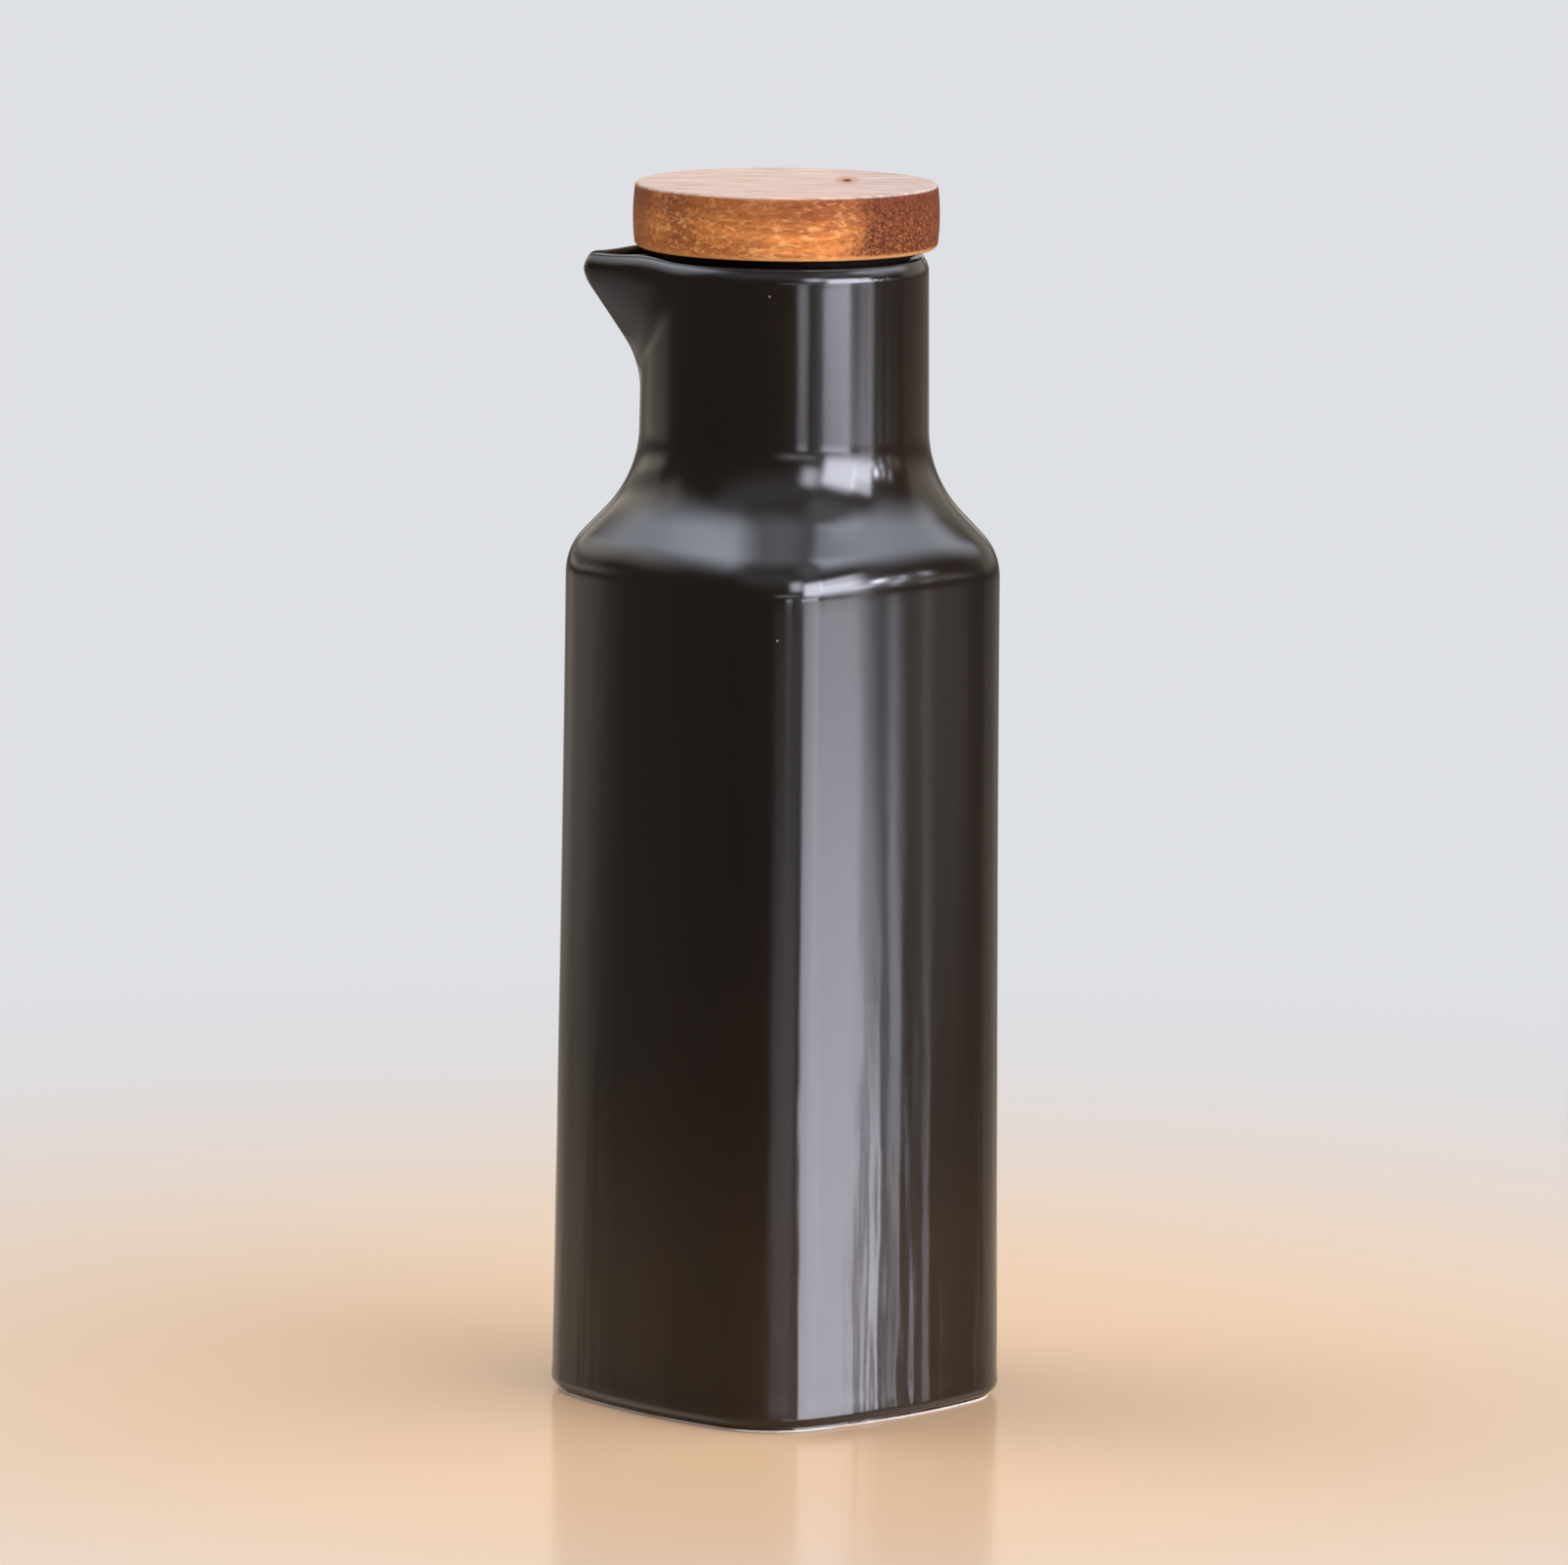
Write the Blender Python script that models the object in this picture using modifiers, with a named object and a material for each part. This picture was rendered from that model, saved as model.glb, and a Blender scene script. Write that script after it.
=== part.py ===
"""Square ceramic oil dispenser with a pinched pouring spout and a round wooden lid.

Frame: metres, +Z up, origin on the table under the middle of the base.
The four sides of the body face along X and Y. The spout stands over the corner towards -X, -Y.
"""
import math

import bmesh
import bpy

# Body: a rounded square of four shallow arcs, wider at the base than at the shoulder
BASE_WIDTH = 0.0705
SHOULDER_WIDTH = 0.0677
CORNER_RADIUS = 0.0164
SIDE_BOW_RADIUS = 0.106
TAPER_POWER = 1.45

# Foot: a low bare ring, inset under the rounded lower edge, around a shallow hollow
FOOT_HEIGHT = 0.0007
FOOT_INSET = 0.0016
FOOT_RING_WIDTH = 0.0040
FOOT_HOLLOW = 0.0012
LOWER_EDGE_RADIUS = 0.0020

# Shoulder, seen over a corner: a soft edge, a slope and a hollow sweep into the neck
SHOULDER_EDGE_Z = 0.1543
SHOULDER_EDGE_RADIUS = 0.0112
SHOULDER_SLOPE = math.radians(44.0)
NECK_SWEEP_RADIUS = 0.0218

# Neck and rim
NECK_RADIUS = 0.0261
RIM_RADIUS = 0.0257
RIM_Z = 0.2078
LIP_THICKNESS = 0.0034

# Spout: the neck's circle drawn out to a small round tip
SPOUT_ANGLE = math.radians(225.0)
SPOUT_ROOT_Z = 0.1826
SPOUT_ROOT_RADIUS = 0.0180
SPOUT_SLOPE = math.radians(33.7)
SPOUT_TOP_SLOPE_Z = 0.2020
SPOUT_TIP_RADIUS = 0.0030
CHANNEL_TIP_RADIUS = 0.0012
RIM_WING = 0.0006
RIM_WING_FROM = math.radians(4.0)
RIM_WING_TO = math.radians(42.0)
TIP_DIP = 0.0006

# Inside
WALL = 0.0040
FLOOR_THICKNESS = 0.0038
INNER_FLOOR_RADIUS = 0.0060
INNER_SHOULDER_DROP = 0.0020

# Lid: a thick disc with a slight barrel, a shadow step over the rim and a short plug in the mouth
LID_TOP_Z = 0.2207
LID_THICKNESS = 0.0115
LID_RADIUS = 0.02756
LID_BARREL = 0.0004
LID_TOP_CHAMFER = 0.0004
LID_LOWER_ROUND = 0.0012
LID_STEP_RADIUS = 0.0234
LID_PLUG_LENGTH = 0.0075
LID_PLUG_CHAMFER = 0.0008
PLUG_PLAY = 0.0004
PIECE_GAP = 0.0003

# Fineness
QUADRANT_STEPS = 16
SPOUT_QUADRANT_STEPS = 22
QUADRANT_CROWDING = 0.35
SPOUT_QUADRANT_CROWDING = 0.70
LID_STEPS = 48

COLLECTION_NAME = "oil_dispenser"


def clear_scene():
    """Remove every object of the open file."""
    for item in list(bpy.data.objects):
        bpy.data.objects.remove(item, do_unlink=True)


def make_material(name, color, roughness, metallic=0.0):
    """Principled material of one plain colour."""
    material = bpy.data.materials.new(name)
    material.use_nodes = True
    shader = material.node_tree.nodes["Principled BSDF"]
    shader.inputs["Base Color"].default_value = (*color, 1.0)
    shader.inputs["Roughness"].default_value = roughness
    shader.inputs["Metallic"].default_value = metallic
    return material


def ring_angles():
    """Angles round the axis: crowded at each corner, and most of all at the spout's corner."""
    angles = []
    for quadrant in range(4):
        corner = SPOUT_ANGLE + quadrant * math.pi / 2
        steps = QUADRANT_STEPS if quadrant else SPOUT_QUADRANT_STEPS
        crowding = QUADRANT_CROWDING if quadrant else SPOUT_QUADRANT_CROWDING
        for step in range(steps):
            t = 2.0 * step / steps - 1.0
            angles.append(corner + math.pi / 4 * (t * (1.0 - crowding) + crowding * t ** 3))
    return angles


def from_spout(angle):
    """Unsigned angle between a direction and the spout."""
    return abs(math.remainder(angle - SPOUT_ANGLE, 2.0 * math.pi))


def square_radius(angle, width, corner, bow):
    """Distance from the axis to a square of four shallow arcs joined by four round corners."""
    half = width / 2.0
    side_centre = bow - half
    corner_centre = math.sqrt((bow - corner) ** 2 - side_centre ** 2 / 2.0) - side_centre / math.sqrt(2.0)
    across = abs(math.remainder(angle, math.pi / 2.0))
    to_corner = math.pi / 4.0 - across
    offset = corner_centre / math.sqrt(2.0)
    joint_turn = math.atan2(offset, offset + side_centre)
    joint = math.atan2(bow * math.sin(joint_turn), bow * math.cos(joint_turn) - side_centre)
    if across < joint:
        reach = math.sqrt(bow ** 2 - (side_centre * math.sin(across)) ** 2)
        return reach - side_centre * math.cos(across)
    reach = math.sqrt(corner ** 2 - (corner_centre * math.sin(to_corner)) ** 2)
    return reach + corner_centre * math.cos(to_corner)


def body_width(z):
    """Width over the sides at a height: it narrows from the base to the shoulder."""
    rise = min(max(z / SHOULDER_EDGE_Z, 0.0), 1.0)
    return SHOULDER_WIDTH + (BASE_WIDTH - SHOULDER_WIDTH) * (1.0 - rise) ** TAPER_POWER


def body_radius(angle, z, inset=0.0):
    """Radius of the body's section at a height, set in evenly by inset."""
    width = body_width(z)
    corner = CORNER_RADIUS * width / BASE_WIDTH
    return square_radius(angle, width - 2.0 * inset, corner - inset, SIDE_BOW_RADIUS - inset)


def neck_radius(z):
    """Radius of the neck's circle: it narrows a little towards the rim."""
    rise = min(max((z - neck_bottom_z()) / (RIM_Z - neck_bottom_z()), 0.0), 1.0)
    return NECK_RADIUS + (RIM_RADIUS - NECK_RADIUS) * rise


def shoulder_inset():
    """Distance from the body's corner in to the neck."""
    return body_radius(SPOUT_ANGLE, SHOULDER_EDGE_Z) - NECK_RADIUS


def neck_bottom_z():
    """Height where the hollow sweep ends and the neck stands upright."""
    slope_top = SHOULDER_EDGE_Z + shoulder_inset() / math.tan(SHOULDER_SLOPE)
    return slope_top + NECK_SWEEP_RADIUS * math.tan(SHOULDER_SLOPE / 2.0)


def shoulder_profile(edge_steps, sweep_steps):
    """Pairs of a share, 0 on the body and 1 on the neck, and a height, from the body up."""
    inset = shoulder_inset()
    start_z = SHOULDER_EDGE_Z - SHOULDER_EDGE_RADIUS * math.tan(SHOULDER_SLOPE / 2.0)
    end_z = neck_bottom_z()
    pairs = []
    for step in range(edge_steps + 1):
        turn = SHOULDER_SLOPE * step / edge_steps
        across = SHOULDER_EDGE_RADIUS * (1.0 - math.cos(turn))
        pairs.append((across / inset, start_z + SHOULDER_EDGE_RADIUS * math.sin(turn)))
    for step in range(sweep_steps + 1):
        turn = SHOULDER_SLOPE * (1.0 - step / sweep_steps)
        across = inset - NECK_SWEEP_RADIUS * (1.0 - math.cos(turn))
        pairs.append((across / inset, end_z - NECK_SWEEP_RADIUS * math.sin(turn)))
    return pairs


def spout_reach(z):
    """Distance from the axis to the outside of the spout at a height."""
    rise = z - SPOUT_ROOT_Z
    base = neck_radius(z)
    if rise <= 0.0:
        return base
    root_rise = SPOUT_ROOT_RADIUS * math.sin(SPOUT_SLOPE)
    if rise <= root_rise:
        return base + SPOUT_ROOT_RADIUS - math.sqrt(SPOUT_ROOT_RADIUS ** 2 - rise ** 2)
    root_reach = SPOUT_ROOT_RADIUS * (1.0 - math.cos(SPOUT_SLOPE))
    top_rise = SPOUT_TOP_SLOPE_Z - SPOUT_ROOT_Z
    straight = min(rise, top_rise) - root_rise
    reach = base + root_reach + straight * math.tan(SPOUT_SLOPE)
    if rise > top_rise:
        span = lip_base_z() - SPOUT_TOP_SLOPE_Z
        part = min((z - SPOUT_TOP_SLOPE_Z) / span, 1.0)
        reach += span * math.tan(SPOUT_SLOPE) * (part - part ** 2 / 2.0)
    return reach


def lip_base_z():
    """Height of the middle of the rounded lip."""
    return RIM_Z - LIP_THICKNESS / 2.0


def drawn_radius(angle, core, reach, tip):
    """Radius of a circle drawn out to a small round tip, with straight flanks between the two."""
    if reach <= core:
        return core
    away = from_spout(angle)
    distance = reach - tip
    tangent = math.acos((core - tip) / distance)
    turn = math.atan2(tip * math.sin(tangent), distance + tip * math.cos(tangent))
    if away >= tangent:
        return core
    if away >= turn:
        return core / math.cos(tangent - away)
    return distance * math.cos(away) + math.sqrt(tip ** 2 - (distance * math.sin(away)) ** 2)


def outer_neck_radius(angle, z):
    """Outside of the neck and spout."""
    return drawn_radius(angle, neck_radius(z), spout_reach(z), SPOUT_TIP_RADIUS)


def inner_neck_radius(angle, z):
    """Inside of the neck and the spout's channel: the wall thins towards the lip."""
    part = min(max((z - SPOUT_ROOT_Z) / (lip_base_z() - SPOUT_ROOT_Z), 0.0), 1.0)
    wall = WALL + (LIP_THICKNESS - WALL) * part
    return drawn_radius(angle, neck_radius(z) - wall, spout_reach(z) - wall, CHANNEL_TIP_RADIUS)


def rim_lift(angle):
    """How far the rim stands above its level: wings beside the spout and a dip at its tip."""
    away = from_spout(angle)
    lift = 0.0
    if RIM_WING_FROM < away < RIM_WING_TO:
        part = (away - RIM_WING_FROM) / (RIM_WING_TO - RIM_WING_FROM)
        lift += RIM_WING * math.sin(math.pi * part) ** 2
    if away < RIM_WING_FROM:
        lift -= TIP_DIP * math.cos(math.pi / 2.0 * away / RIM_WING_FROM) ** 2
    return lift


def lifted(angle, z):
    """Height of a ring's point: the rim's lift fades out down the spout."""
    part = min(max((z - SPOUT_ROOT_Z) / (lip_base_z() - SPOUT_ROOT_Z), 0.0), 1.0)
    return z + rim_lift(angle) * part ** 2


def ring(angles, radius_of, height_of):
    """One closed ring of points from a radius and a height at each angle."""
    points = []
    for angle in angles:
        radius = radius_of(angle)
        points.append((radius * math.cos(angle), radius * math.sin(angle), height_of(angle)))
    return points


def level_ring(angles, radius_of, z):
    """Ring of points at one height."""
    return ring(angles, radius_of, lambda angle: z)


def foot_rings(angles):
    """Hollow, foot ring and rounded lower edge, from the middle of the underside outwards."""
    hollow_inset = FOOT_INSET + FOOT_RING_WIDTH
    profile = [(hollow_inset + FOOT_HOLLOW / 2.0, FOOT_HOLLOW), (hollow_inset, 0.0)]
    profile += [(FOOT_INSET, 0.0), (FOOT_INSET, FOOT_HEIGHT)]
    edge_steps = 4
    first_turn = math.asin(1.0 - FOOT_INSET / LOWER_EDGE_RADIUS)
    for step in range(1, edge_steps + 1):
        turn = first_turn + (math.pi / 2.0 - first_turn) * step / edge_steps
        inset = LOWER_EDGE_RADIUS * (1.0 - math.sin(turn))
        profile.append((inset, FOOT_HEIGHT + LOWER_EDGE_RADIUS * (1.0 - math.cos(turn))))
    rings = []
    for inset, z in profile:
        rings.append(level_ring(angles, lambda angle: body_radius(angle, 0.0, inset), z))
    return rings


def outer_rings(angles):
    """Body, shoulder, neck and spout, from the lower edge to the lip."""
    rings = []
    profile = shoulder_profile(6, 6)
    body_steps = 6
    low_z = 0.0060
    for step in range(body_steps):
        z = low_z + (profile[0][1] - low_z) * step / body_steps
        rings.append(level_ring(angles, lambda angle: body_radius(angle, z), z))
    for share, z in profile:
        rings.append(level_ring(
            angles, lambda angle: body_radius(angle, z) * (1.0 - share) + NECK_RADIUS * share, z))
    spout_steps = 8
    for step in range(spout_steps + 1):
        z = SPOUT_ROOT_Z + (lip_base_z() - SPOUT_ROOT_Z) * step / spout_steps
        rings.append(ring(angles, lambda angle: outer_neck_radius(angle, z), lambda angle: lifted(angle, z)))
    return rings


def lip_rings(angles):
    """Half round of the lip, over the top from outside to inside, without its two ends."""
    rings = []
    lip_steps = 6
    z = lip_base_z()
    for step in range(1, lip_steps):
        turn = math.pi * step / lip_steps

        def radius_of(angle):
            outside = outer_neck_radius(angle, z)
            inside = inner_neck_radius(angle, z)
            return (outside + inside) / 2.0 + (outside - inside) / 2.0 * math.cos(turn)

        rings.append(ring(angles, radius_of,
                          lambda angle: lifted(angle, z) + LIP_THICKNESS / 2.0 * math.sin(turn)))
    return rings


def inner_rings(angles):
    """Inside from the lip down through the channel, neck and shoulder to the floor."""
    rings = []
    spout_steps = 6
    for step in range(spout_steps + 1):
        z = lip_base_z() + (SPOUT_ROOT_Z - lip_base_z()) * step / spout_steps
        rings.append(ring(angles, lambda angle: inner_neck_radius(angle, z), lambda angle: lifted(angle, z)))
    for share, z in reversed(shoulder_profile(3, 4)):
        low_z = z - INNER_SHOULDER_DROP
        rings.append(level_ring(
            angles, lambda angle: body_radius(angle, z, WALL) * (1.0 - share) + (NECK_RADIUS - WALL) * share, low_z))
    floor_z = FOOT_HOLLOW + FLOOR_THICKNESS
    body_steps = 3
    top_z = shoulder_profile(3, 4)[0][1] - INNER_SHOULDER_DROP
    for step in range(1, body_steps):
        z = top_z + (floor_z + INNER_FLOOR_RADIUS - top_z) * step / body_steps
        rings.append(level_ring(angles, lambda angle: body_radius(angle, z, WALL), z))
    floor_steps = 3
    for step in range(floor_steps + 1):
        turn = math.pi / 2.0 * step / floor_steps
        inset = WALL + INNER_FLOOR_RADIUS * (1.0 - math.cos(turn))
        z = floor_z + INNER_FLOOR_RADIUS * (1.0 - math.sin(turn))
        rings.append(level_ring(angles, lambda angle: body_radius(angle, z, inset), z))
    return rings


def make_bottle(collection, material):
    """Loft the rings into one closed shell, from the underside over the lip to the inner floor."""
    angles = ring_angles()
    rings = foot_rings(angles) + outer_rings(angles) + lip_rings(angles) + inner_rings(angles)
    shape = bmesh.new()
    loops = [[shape.verts.new(point) for point in points] for points in rings]
    count = len(angles)
    for low, high in zip(loops[:-1], loops[1:]):
        for index in range(count):
            after = (index + 1) % count
            shape.faces.new((low[index], low[after], high[after], high[index]))
    under = shape.verts.new((0.0, 0.0, rings[0][0][2]))
    floor = shape.verts.new((0.0, 0.0, rings[-1][0][2]))
    for index in range(count):
        after = (index + 1) % count
        shape.faces.new((under, loops[0][after], loops[0][index]))
        shape.faces.new((floor, loops[-1][index], loops[-1][after]))
    mesh = bpy.data.meshes.new("bottle")
    shape.to_mesh(mesh)
    shape.free()
    mesh.shade_smooth()
    mesh.set_sharp_from_angle(angle=math.radians(50.0))
    mesh.materials.append(material)
    bottle = bpy.data.objects.new("bottle", mesh)
    collection.objects.link(bottle)
    return bottle


def lid_profile():
    """Outline of the lid at +X, from the middle of its top down its side to the middle of the plug."""
    lower_z = LID_TOP_Z - LID_THICKNESS
    middle_z = LID_TOP_Z - LID_THICKNESS / 2.0
    plug_radius = RIM_RADIUS - LIP_THICKNESS - PLUG_PLAY
    step_z = RIM_Z + PIECE_GAP
    plug_z = step_z - LID_PLUG_LENGTH
    points = [(0.0, LID_TOP_Z)]
    side_top = LID_TOP_Z - LID_TOP_CHAMFER
    side_low = lower_z + LID_LOWER_ROUND
    side_steps = 4

    def side_radius(z):
        return LID_RADIUS - LID_BARREL * ((z - middle_z) / (LID_THICKNESS / 2.0)) ** 2

    points.append((side_radius(side_top) - LID_TOP_CHAMFER, LID_TOP_Z))
    for step in range(side_steps + 1):
        z = side_top + (side_low - side_top) * step / side_steps
        points.append((side_radius(z), z))
    round_steps = 3
    for step in range(1, round_steps + 1):
        turn = math.pi / 2.0 * step / round_steps
        radius = side_radius(side_low) - LID_LOWER_ROUND * (1.0 - math.cos(turn))
        points.append((radius, side_low - LID_LOWER_ROUND * math.sin(turn)))
    points.append((LID_STEP_RADIUS, lower_z))
    points.append((LID_STEP_RADIUS, step_z))
    points.append((plug_radius, step_z))
    points.append((plug_radius, plug_z + LID_PLUG_CHAMFER))
    points.append((plug_radius - LID_PLUG_CHAMFER, plug_z))
    points.append((0.0, plug_z))
    return points


def make_lid(collection, material):
    """Turn the lid's outline about the axis."""
    points = lid_profile()
    mesh = bpy.data.meshes.new("lid")
    edges = [(index, index + 1) for index in range(len(points) - 1)]
    mesh.from_pydata([(radius, 0.0, z) for radius, z in points], edges, [])
    mesh.materials.append(material)
    lid = bpy.data.objects.new("lid", mesh)
    collection.objects.link(lid)
    screw = lid.modifiers.new("turned", "SCREW")
    screw.axis = "Z"
    screw.angle = 2.0 * math.pi
    screw.steps = LID_STEPS
    screw.render_steps = LID_STEPS
    screw.use_merge_vertices = True
    screw.merge_threshold = 0.00001
    screw.use_smooth_shade = True
    return lid


def main():
    """Build the bottle and its lid."""
    clear_scene()
    collection = bpy.data.collections.new(COLLECTION_NAME)
    bpy.context.scene.collection.children.link(collection)
    glaze = make_material("black_glaze", (0.012, 0.010, 0.009), 0.30)
    wood = make_material("lid_wood", (0.36, 0.17, 0.08), 0.55)
    make_bottle(collection, glaze)
    make_lid(collection, wood)


main()
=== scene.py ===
"""Square ceramic oil dispenser with a pinched pouring spout and a round wooden lid.

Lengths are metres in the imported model's frame: +Z up, the origin on the table under the middle of
the base, the four flat sides facing along X and Y, and the spout over the corner towards -X, -Y.
"""

import logging
import math
from collections.abc import Callable
from dataclasses import dataclass, field
from enum import Enum

import bmesh
import bpy
from mathutils import Matrix, Vector, noise


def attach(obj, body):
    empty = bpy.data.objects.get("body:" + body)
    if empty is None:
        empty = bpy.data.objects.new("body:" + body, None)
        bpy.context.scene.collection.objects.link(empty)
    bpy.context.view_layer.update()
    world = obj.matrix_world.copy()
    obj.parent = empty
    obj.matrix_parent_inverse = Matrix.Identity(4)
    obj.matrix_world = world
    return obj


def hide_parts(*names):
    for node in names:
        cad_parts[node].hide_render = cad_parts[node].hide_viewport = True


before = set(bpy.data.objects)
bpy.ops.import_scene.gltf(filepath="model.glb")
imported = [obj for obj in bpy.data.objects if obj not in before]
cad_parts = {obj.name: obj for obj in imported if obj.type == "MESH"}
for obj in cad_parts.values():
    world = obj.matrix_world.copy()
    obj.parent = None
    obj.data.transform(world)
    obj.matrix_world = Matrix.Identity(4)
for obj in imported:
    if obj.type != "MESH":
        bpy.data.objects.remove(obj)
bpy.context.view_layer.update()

BODY = "root"
LOG = logging.getLogger("oil_dispenser")

Colour = tuple[float, float, float]
Point = tuple[float, float, float]
Socket = bpy.types.NodeSocket
Value = Socket | float | tuple[float, ...]
Around = Callable[[float], float]

DAYLIGHT: Colour = (0.85, 0.87, 1.0)
SKY: Colour = (0.79, 0.86, 1.0)
WARM: Colour = (1.0, 0.90, 0.80)
HAZE: Colour = (0.73, 0.745, 0.78)

QUARTER_TURN = math.pi / 2.0
SHARP_FROM = math.radians(40.0)


def clamp(value: float) -> float:
    """Keep a value between 0 and 1."""
    return min(max(value, 0.0), 1.0)


def spaced(start: float, end: float, steps: int) -> list[float]:
    """Evenly spaced values from the start to the end, both included."""
    return [start + (end - start) * step / steps for step in range(steps + 1)]


class Skin(Enum):
    """What covers a band of the bottle: the value is the material's slot."""

    GLAZE = 0
    CLAY = 1


@dataclass(frozen=True)
class RoundedSquare:
    """A square of four shallow arcs joined by four round corners, centred on the axis."""

    width: float
    corner: float
    bow: float

    def inset(self, distance: float) -> "RoundedSquare":
        """The same outline set in evenly."""
        return RoundedSquare(self.width - 2.0 * distance, self.corner - distance, self.bow - distance)

    def reach(self, angle: float) -> float:
        """Distance from the axis to the outline.

        Args:
            angle: direction round the axis, from +X.

        Returns:
            The distance in metres.
        """
        side_centre = self.bow - self.width / 2.0
        diagonal = side_centre / math.sqrt(2.0)
        corner_centre = math.sqrt((self.bow - self.corner) ** 2 - diagonal ** 2) - diagonal
        across = abs(math.remainder(angle, QUARTER_TURN))
        offset = corner_centre / math.sqrt(2.0)
        joint_turn = math.atan2(offset, offset + side_centre)
        joint = math.atan2(self.bow * math.sin(joint_turn), self.bow * math.cos(joint_turn) - side_centre)
        if across < joint:
            beside = side_centre * math.sin(across)
            return math.sqrt(self.bow ** 2 - beside ** 2) - side_centre * math.cos(across)
        to_corner = QUARTER_TURN / 2.0 - across
        beside = corner_centre * math.sin(to_corner)
        return math.sqrt(self.corner ** 2 - beside ** 2) + corner_centre * math.cos(to_corner)


@dataclass(frozen=True)
class BottleForm:
    """The bottle's driving dimensions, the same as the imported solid's, and its sections."""

    base_width: float = 0.0705
    shoulder_width: float = 0.0677
    corner_radius: float = 0.0164
    side_bow: float = 0.106
    taper_power: float = 1.45
    foot_height: float = 0.0007
    foot_inset: float = 0.0016
    foot_ring: float = 0.0040
    foot_hollow: float = 0.0012
    lower_edge: float = 0.0020
    edge_z: float = 0.1543
    edge_radius: float = 0.0112
    slope: float = math.radians(44.0)
    sweep_radius: float = 0.0218
    neck: float = 0.0261
    rim: float = 0.0257
    rim_z: float = 0.2078
    lip: float = 0.0034
    spout_angle: float = math.radians(225.0)
    spout_root_z: float = 0.1826
    spout_root_radius: float = 0.0180
    spout_slope: float = math.radians(33.7)
    spout_top_z: float = 0.2020
    tip_radius: float = 0.0030
    channel_tip: float = 0.0012
    wing: float = 0.0006
    wing_from: float = math.radians(4.0)
    wing_to: float = math.radians(42.0)
    tip_dip: float = 0.0006
    wall: float = 0.0040
    floor: float = 0.0038
    inner_floor_radius: float = 0.0060
    inner_shoulder_drop: float = 0.0020

    def section(self, z: float) -> RoundedSquare:
        """The body's outline, which narrows from the base to the shoulder.

        Args:
            z: height.

        Returns:
            The outline at that height.
        """
        narrowing = (1.0 - clamp(z / self.edge_z)) ** self.taper_power
        width = self.shoulder_width + (self.base_width - self.shoulder_width) * narrowing
        return RoundedSquare(width, self.corner_radius * width / self.base_width, self.side_bow)

    def shoulder_inset(self) -> float:
        """Distance from the body's corner in to the neck."""
        return self.section(self.edge_z).reach(self.spout_angle) - self.neck

    def neck_bottom(self) -> float:
        """Height where the hollow sweep ends and the neck stands upright."""
        slope_top = self.edge_z + self.shoulder_inset() / math.tan(self.slope)
        return slope_top + self.sweep_radius * math.tan(self.slope / 2.0)

    def lip_base(self) -> float:
        """Height of the middle of the rounded lip."""
        return self.rim_z - self.lip / 2.0

    def shoulder(self, edge_steps: int, slope_steps: int, sweep_steps: int) -> list[tuple[float, float]]:
        """The shoulder's profile from the body up to the neck.

        Args:
            edge_steps: steps round the soft edge.
            slope_steps: steps up the straight slope.
            sweep_steps: steps round the hollow sweep.

        Returns:
            Pairs of a share, 0 on the body and 1 on the neck, and a height.
        """
        inset = self.shoulder_inset()
        start_z = self.edge_z - self.edge_radius * math.tan(self.slope / 2.0)
        edge = [(self.edge_radius * (1.0 - math.cos(turn)) / inset,
                 start_z + self.edge_radius * math.sin(turn))
                for turn in spaced(0.0, self.slope, edge_steps)]
        end_z = self.neck_bottom()
        sweep = [((inset - self.sweep_radius * (1.0 - math.cos(turn))) / inset,
                  end_z - self.sweep_radius * math.sin(turn))
                 for turn in spaced(self.slope, 0.0, sweep_steps)]
        ends = zip(edge[-1], sweep[0])
        straight = zip(*(spaced(low, high, slope_steps)[1:-1] for low, high in ends))
        return edge + list(straight) + sweep

    def neck_radius(self, z: float) -> float:
        """Radius of the neck's circle: it narrows a little towards the rim."""
        rise = (z - self.neck_bottom()) / (self.rim_z - self.neck_bottom())
        return self.neck + (self.rim - self.neck) * clamp(rise)

    def spout_reach(self, z: float) -> float:
        """Distance from the axis to the outside of the spout, straight over its corner.

        Args:
            z: height.

        Returns:
            The distance, which below the spout's root is the neck's radius.
        """
        rise = z - self.spout_root_z
        base = self.neck_radius(z)
        if rise <= 0.0:
            return base
        root_rise = self.spout_root_radius * math.sin(self.spout_slope)
        if rise <= root_rise:
            return base + self.spout_root_radius - math.sqrt(self.spout_root_radius ** 2 - rise ** 2)
        reach = base + self.spout_root_radius * (1.0 - math.cos(self.spout_slope))
        top_rise = self.spout_top_z - self.spout_root_z
        reach += (min(rise, top_rise) - root_rise) * math.tan(self.spout_slope)
        if rise > top_rise:
            span = self.lip_base() - self.spout_top_z
            part = clamp((z - self.spout_top_z) / span)
            reach += span * math.tan(self.spout_slope) * (part - part ** 2 / 2.0)
        return reach

    def from_spout(self, angle: float) -> float:
        """Unsigned angle between a direction and the spout."""
        return abs(math.remainder(angle - self.spout_angle, 2.0 * math.pi))

    def drawn_out(self, angle: float, core: float, reach: float, tip: float) -> float:
        """Radius of a circle drawn out to a small round tip with straight flanks.

        Args:
            angle: direction round the axis.
            core: radius of the circle.
            reach: distance from the axis to the end of the tip.
            tip: radius of the tip.

        Returns:
            The distance from the axis to the outline.
        """
        if reach <= core:
            return core
        away = self.from_spout(angle)
        distance = reach - tip
        tangent = math.acos((core - tip) / distance)
        if away >= tangent:
            return core
        turn = math.atan2(tip * math.sin(tangent), distance + tip * math.cos(tangent))
        if away >= turn:
            return core / math.cos(tangent - away)
        return distance * math.cos(away) + math.sqrt(tip ** 2 - (distance * math.sin(away)) ** 2)

    def outside(self, angle: float, z: float) -> float:
        """Outside of the neck and spout."""
        return self.drawn_out(angle, self.neck_radius(z), self.spout_reach(z), self.tip_radius)

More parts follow.
